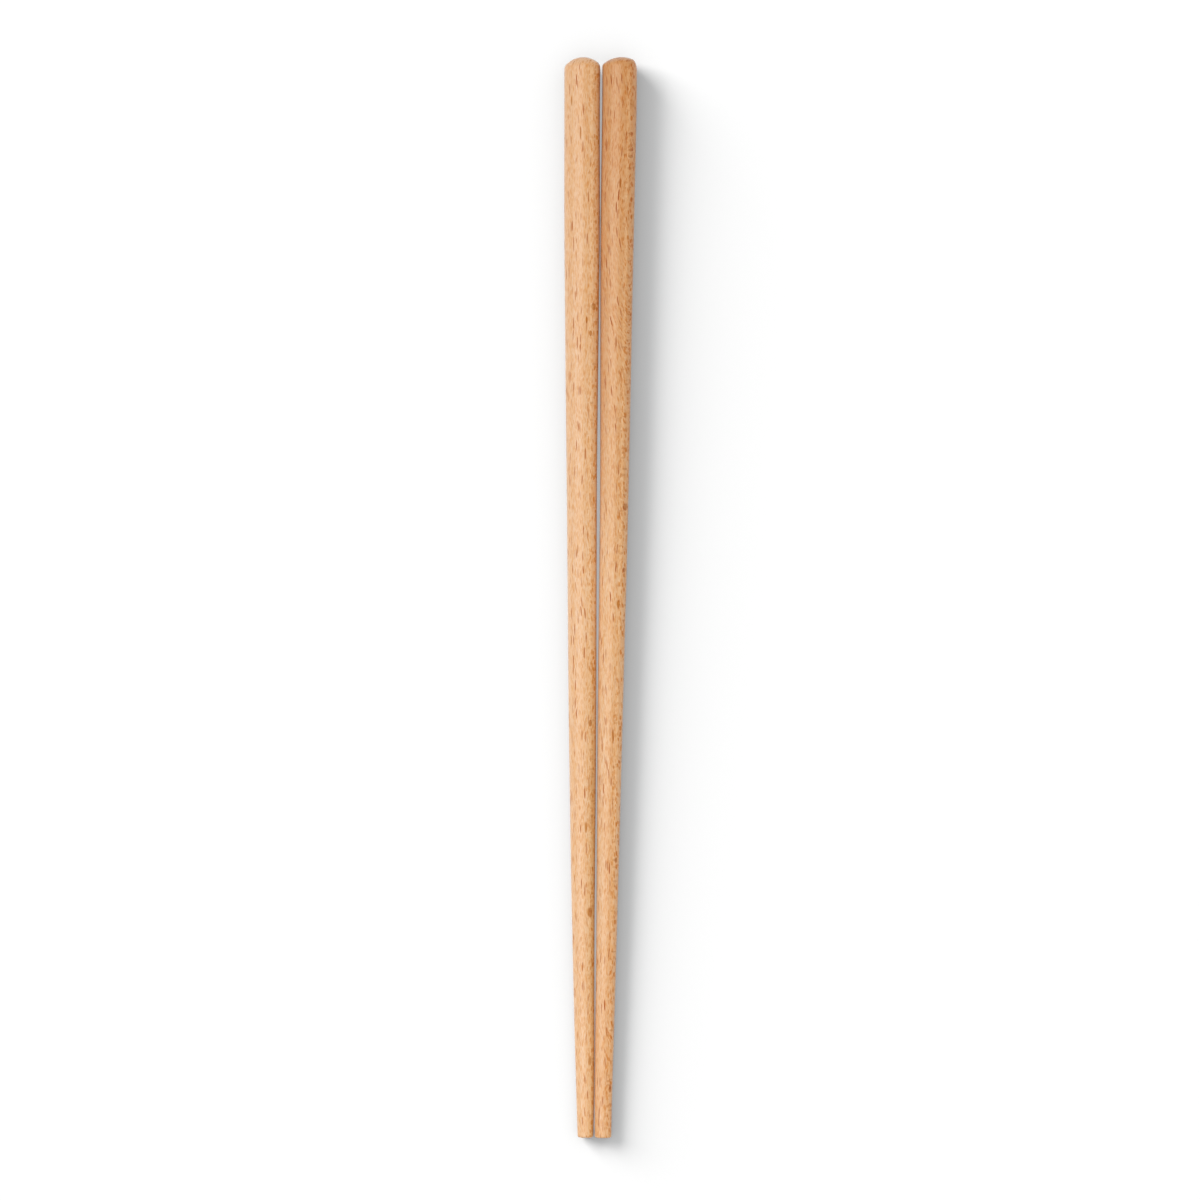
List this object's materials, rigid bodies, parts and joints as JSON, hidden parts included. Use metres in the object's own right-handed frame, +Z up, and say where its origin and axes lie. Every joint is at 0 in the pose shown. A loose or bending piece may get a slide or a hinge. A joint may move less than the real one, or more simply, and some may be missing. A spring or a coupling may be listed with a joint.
{
  "type": "pair of wooden chopsticks",
  "caption": "Slim round beech chopsticks lying side by side, tapering from domed handle ends to small flat tips, held in the hand to pick up food.",
  "frame": {"origin": "under the middle of the pair, on the surface that it lies on", "axes": "+Y from the tips to the handle ends, +X to the right with the handle ends away from the viewer, +Z up"},
  "size_m": [0.0154, 0.23, 0.0077],
  "materials": {
    "beech": "fine-sanded bare beech with short brown ray flecks along the grain, matte to satin"
  },
  "bodies": {
    "root": {"left_chopstick": "beech", "right_chopstick": "beech"}
  },
  "joints": []
}
